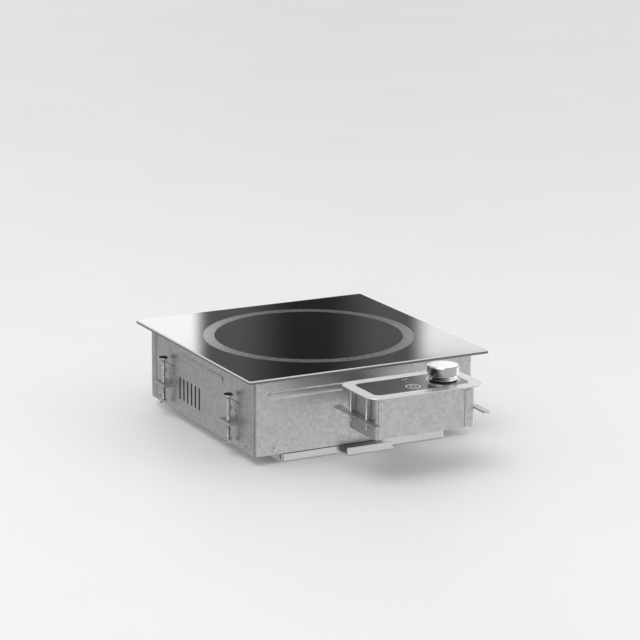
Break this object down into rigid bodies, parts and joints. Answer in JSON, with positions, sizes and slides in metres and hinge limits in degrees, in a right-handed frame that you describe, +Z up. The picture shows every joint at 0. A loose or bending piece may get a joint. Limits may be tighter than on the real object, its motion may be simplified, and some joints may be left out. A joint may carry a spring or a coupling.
{
  "type": "induction hob",
  "caption": "Built-in induction hob: square black glass over a coil and generator housing, with a separate steel control plate, touch key and rotary knob.",
  "frame": {"origin": "centre of the cooking surface, on the top face of the glass", "axes": "+Z up out of the cooking surface, -Y towards the cook and the control unit, +X to the cook's right"},
  "size_m": [0.35, 0.4933, 0.1338],
  "materials": {
    "black_glass": "mirror-gloss black glass-ceramic",
    "zone_enamel": "semi-matt printed grey enamel",
    "seal_foam": "matt closed-cell foam tape",
    "silicone": "cured silicone bead",
    "mica_fibre": "matt fibrous insulation",
    "copper_litz": "lacquered copper litz",
    "carrier_plastic": "moulded high-temperature plastic",
    "ferrite": "matt sintered ferrite",
    "spring_steel": "zinc-plated steel",
    "sensor_ceramic": "unglazed ceramic",
    "aluminium": "mill-finish aluminium",
    "lead_sleeve": "glass-fibre sleeve",
    "housing_steel": "galvanised sheet with light grain",
    "filter_steel": "satin stainless steel",
    "filter_mesh": "knitted grease-filter mesh",
    "fan_plastic": "glass-filled black plastic",
    "impeller_plastic": "moulded black plastic",
    "duct_plastic": "moulded dark grey plastic",
    "board_green": "solder-masked board",
    "brass": "turned brass",
    "module_black": "moulded epoxy",
    "capacitor_case": "moulded film-capacitor case",
    "terminal_plastic": "moulded polyamide",
    "gland_plastic": "moulded polyamide",
    "screw_steel": "bright zinc-plated steel",
    "screw_dark": "black oxide steel",
    "satin_steel": "fine satin-ground stainless steel",
    "fascia_gloss": "smoked gloss fascia",
    "print_white": "white printed marking",
    "collar_ring": "pale polished ring",
    "polished_steel": "mirror-polished",
    "knob_steel": "turned and satin-polished",
    "lead_sheath": "matt rubber sheath",
    "rubber": "soft black rubber"
  },
  "bodies": {
    "hob": {"glass_plate": "black_glass", "zone_marking": "zone_enamel", "worktop_seal": "seal_foam", "glass_adhesive": "silicone", "insulation_sheet": "mica_fibre", "coil_winding": "copper_litz", "coil_carrier": "carrier_plastic", "ferrite_bars": "ferrite", "carrier_springs": "spring_steel", "temp_sensor": "sensor_ceramic", "sensor_spring": "spring_steel", "coil_shield": "aluminium", "coil_leads": "lead_sleeve", "housing_shell": "housing_steel", "bottom_cover": "housing_steel", "filter_rails": "housing_steel", "fan_frame_left": "fan_plastic", "fan_frame_right": "fan_plastic", "air_duct": "duct_plastic", "power_board": "board_green", "board_standoffs": "brass", "power_modules": "module_black", "heat_sink_left": "aluminium", "heat_sink_right": "aluminium", "bus_capacitors": "capacitor_case", "choke_core": "ferrite", "choke_winding": "copper_litz", "terminal_block": "terminal_plastic", "earth_stud": "brass", "mains_gland": "gland_plastic", "clamp_brackets": "housing_steel", "housing_screws": "screw_steel", "control_plate": "satin_steel", "control_gasket": "seal_foam", "panel_fascia": "fascia_gloss", "key_marking": "print_white", "display_module": "module_black", "touch_sensor": "spring_steel", "control_box": "housing_steel", "control_board": "board_green", "control_straps": "housing_steel", "strap_nuts": "screw_steel", "knob_collar": "collar_ring", "encoder_body": "module_black", "encoder_nut": "screw_steel", "link_channel": "housing_steel", "control_lead": "lead_sheath", "lead_grommets": "rubber"},
    "knob": {"knob_drum": "knob_steel", "knob_skirt": "polished_steel", "knob_setscrew": "screw_dark", "encoder_shaft": "screw_steel"},
    "fan_left": {"fan_impeller_left": "impeller_plastic"},
    "fan_right": {"fan_impeller_right": "impeller_plastic"},
    "air_filter": {"filter_frame": "filter_steel", "filter_mesh": "filter_mesh"},
    "clamp_left_front": {"clamp_screw_left_front": "screw_steel"},
    "clamp_left_rear": {"clamp_screw_left_rear": "screw_steel"},
    "clamp_right_front": {"clamp_screw_right_front": "screw_steel"},
    "clamp_right_rear": {"clamp_screw_right_rear": "screw_steel"}
  },
  "joints": [
    {"name": "knob_turn", "type": "hinge", "parent": "hob", "child": "knob", "pos_m": [0.0535, -0.2613, 0], "axis": [0, 0, 1], "continuous": true},
    {"name": "fan_left_spin", "type": "hinge", "parent": "hob", "child": "fan_left", "pos_m": [-0.066, -0.08, -0.09], "axis": [0, 0, 1], "continuous": true},
    {"name": "fan_right_spin", "type": "hinge", "parent": "hob", "child": "fan_right", "pos_m": [0.066, -0.08, -0.09], "axis": [0, 0, 1], "continuous": true},
    {"name": "filter_slide", "type": "slide", "parent": "hob", "child": "air_filter", "axis": [0, -1, 0], "range_m": [0, 0.16]},
    {"name": "clamp_left_front_jack", "type": "slide", "parent": "hob", "child": "clamp_left_front", "axis": [0, 0, 1], "range_m": [-0.008, 0.018]},
    {"name": "clamp_left_rear_jack", "type": "slide", "parent": "hob", "child": "clamp_left_rear", "axis": [0, 0, 1], "range_m": [-0.008, 0.018]},
    {"name": "clamp_right_front_jack", "type": "slide", "parent": "hob", "child": "clamp_right_front", "axis": [0, 0, 1], "range_m": [-0.008, 0.018]},
    {"name": "clamp_right_rear_jack", "type": "slide", "parent": "hob", "child": "clamp_right_rear", "axis": [0, 0, 1], "range_m": [-0.008, 0.018]}
  ]
}
